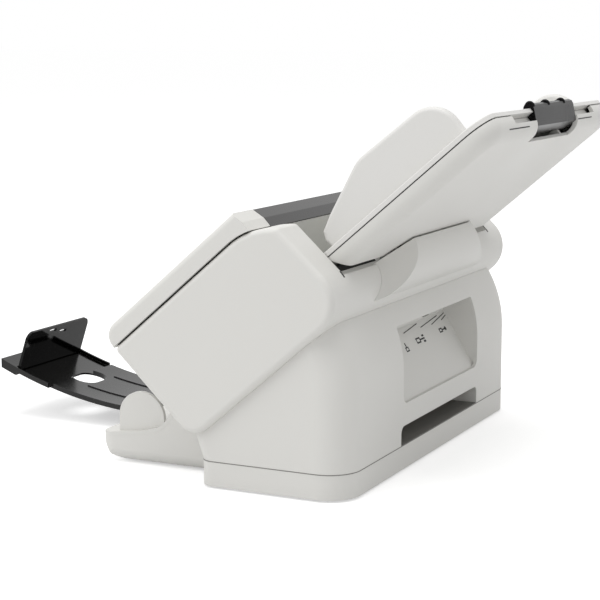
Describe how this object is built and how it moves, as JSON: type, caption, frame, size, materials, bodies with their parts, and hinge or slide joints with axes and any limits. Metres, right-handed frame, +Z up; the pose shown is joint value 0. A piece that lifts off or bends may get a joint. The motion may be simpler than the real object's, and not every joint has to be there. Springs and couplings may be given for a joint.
{
  "type": "document scanner",
  "caption": "Desktop document scanner with a tilted feed tray and side guides, a hinged front cover over the paper path and a curved pull-out output tray.",
  "frame": {"origin": "on the desk, under the middle of the whole object", "axes": "+Z up, the rear face towards +Y, the paper output towards -Y, +X to the left as seen from the front"},
  "size_m": [0.31, 0.4078, 0.2375],
  "materials": {
    "white_plastic": "fine satin texture",
    "dark_gloss_plastic": "polished",
    "black_plastic": "satin",
    "grey_plastic": "satin",
    "panel_plastic": "polished",
    "display_glass": "clear over a dark display",
    "scan_glass": "clear",
    "steel": "drawn",
    "rubber": "matte",
    "roller_rubber": "matte",
    "board": "coated board",
    "socket_metal": "plated"
  },
  "bodies": {
    "base": {"plinth": "white_plastic", "base_screws": "steel", "rubber_pads": "rubber", "pedestal_housing": "white_plastic", "connector_panel": "white_plastic", "data_socket": "socket_metal", "host_socket": "socket_metal", "power_inlet": "black_plastic", "main_board": "board", "body_housing": "white_plastic", "hinge_hood": "white_plastic", "body_guide": "black_plastic", "lower_sensor": "black_plastic", "lower_glass": "scan_glass", "shaft_bushes": "grey_plastic", "cover_pins": "steel", "tray_pins": "steel", "foot_shell": "white_plastic", "foot_cover": "white_plastic", "left_side_plate": "white_plastic", "right_side_plate": "white_plastic"},
    "front_cover": {"cover_shell": "white_plastic", "top_strip": "dark_gloss_plastic", "operator_panel": "panel_plastic", "display_window": "display_glass", "key_board": "board", "cover_frame": "black_plastic", "upper_sensor": "black_plastic", "upper_glass": "scan_glass"},
    "start_key": {"start_key": "grey_plastic"},
    "stop_key": {"stop_key": "grey_plastic"},
    "function_key": {"function_key": "grey_plastic"},
    "drive_roller": {"drive_shaft": "steel", "drive_tyres": "roller_rubber"},
    "eject_roller": {"eject_shaft": "steel", "eject_tyres": "roller_rubber"},
    "feed_roller": {"feed_shaft": "steel", "feed_tyres": "roller_rubber"},
    "separation_roller": {"separation_roller": "roller_rubber"},
    "pinch_rollers": {"pinch_rollers": "grey_plastic"},
    "exit_rollers": {"exit_rollers": "grey_plastic"},
    "feed_tray": {"tray_plate": "white_plastic", "tray_shell": "white_plastic"},
    "left_guide": {"left_guide": "white_plastic", "left_rack": "grey_plastic"},
    "right_guide": {"right_guide": "white_plastic", "right_rack": "grey_plastic"},
    "guide_pinion": {"guide_pinion": "grey_plastic"},
    "extension": {"tray_extension": "white_plastic", "extension_grip": "black_plastic"},
    "eject_tray": {"eject_tray": "dark_gloss_plastic"},
    "stopper": {"stopper": "dark_gloss_plastic"}
  },
  "joints": [
    {"name": "front_cover_hinge", "type": "hinge", "parent": "base", "child": "front_cover", "pos_m": [0, -0.03036, 0.08305], "axis": [1, 0, 0], "range_deg": [0, 85]},
    {"name": "feed_tray_hinge", "type": "hinge", "parent": "base", "child": "feed_tray", "pos_m": [0, 0.10814, 0.13736], "axis": [1, 0, 0], "range_deg": [0, 38]},
    {"name": "tray_extension_slide", "type": "slide", "parent": "feed_tray", "child": "extension", "axis": [0, 0.7593, 0.6508], "range_m": [0, 0.058]},
    {"name": "left_guide_slide", "type": "slide", "parent": "feed_tray", "child": "left_guide", "axis": [1, 0, 0], "range_m": [0, 0.062]},
    {"name": "right_guide_slide", "type": "slide", "parent": "feed_tray", "child": "right_guide", "axis": [-1, 0, 0], "range_m": [0, 0.062]},
    {"name": "guide_pinion_spin", "type": "hinge", "parent": "feed_tray", "child": "guide_pinion", "pos_m": [0, 0.13042, 0.16976], "axis": [0, -0.6508, 0.7593], "range_deg": [-360, 5]},
    {"name": "eject_tray_slide", "type": "hinge", "parent": "base", "child": "eject_tray", "pos_m": [0, -0.07385, 0.3389], "axis": [1, 0, 0], "range_deg": [0, 10.5]},
    {"name": "stopper_hinge", "type": "hinge", "parent": "eject_tray", "child": "stopper", "pos_m": [0, -0.18985, 0.03616], "axis": [-1, 0, 0], "range_deg": [0, 87]},
    {"name": "start_key_press", "type": "slide", "parent": "front_cover", "child": "start_key", "axis": [0, 0.6508, -0.7593], "range_m": [0, 0.0012], "stiffness_N_per_m": 400, "springref_m": -0.0006},
    {"name": "stop_key_press", "type": "slide", "parent": "front_cover", "child": "stop_key", "axis": [0, 0.6508, -0.7593], "range_m": [0, 0.0012], "stiffness_N_per_m": 400, "springref_m": -0.0006},
    {"name": "function_key_press", "type": "slide", "parent": "front_cover", "child": "function_key", "axis": [0, 0.6508, -0.7593], "range_m": [0, 0.0012], "stiffness_N_per_m": 400, "springref_m": -0.0006},
    {"name": "feed_roller_spin", "type": "hinge", "parent": "base", "child": "feed_roller", "pos_m": [0, 0.06891, 0.10861], "axis": [1, 0, 0], "continuous": true},
    {"name": "drive_roller_spin", "type": "hinge", "parent": "base", "child": "drive_roller", "pos_m": [0, 0.04732, 0.09537], "axis": [1, 0, 0], "continuous": true},
    {"name": "eject_roller_spin", "type": "hinge", "parent": "base", "child": "eject_roller", "pos_m": [0, 0.00784, 0.06153], "axis": [1, 0, 0], "continuous": true},
    {"name": "separation_roller_spin", "type": "hinge", "parent": "front_cover", "child": "separation_roller", "pos_m": [0, 0.05436, 0.12558], "axis": [1, 0, 0], "continuous": true},
    {"name": "pinch_rollers_spin", "type": "hinge", "parent": "front_cover", "child": "pinch_rollers", "pos_m": [0, 0.03799, 0.10627], "axis": [1, 0, 0], "continuous": true},
    {"name": "exit_rollers_spin", "type": "hinge", "parent": "front_cover", "child": "exit_rollers", "pos_m": [0, -0.0015, 0.07243], "axis": [1, 0, 0], "continuous": true}
  ],
  "couplings": [
    {"joint": "right_guide_slide", "follows": "left_guide_slide", "ratio": 1},
    {"joint": "guide_pinion_spin", "follows": "left_guide_slide", "rad_per_m": -100},
    {"joint": "eject_roller_spin", "follows": "drive_roller_spin", "ratio": 1},
    {"joint": "feed_roller_spin", "follows": "drive_roller_spin", "ratio": 0.66667},
    {"joint": "separation_roller_spin", "follows": "drive_roller_spin", "ratio": -0.8},
    {"joint": "pinch_rollers_spin", "follows": "drive_roller_spin", "ratio": -1.3333},
    {"joint": "exit_rollers_spin", "follows": "drive_roller_spin", "ratio": -1.3333}
  ]
}
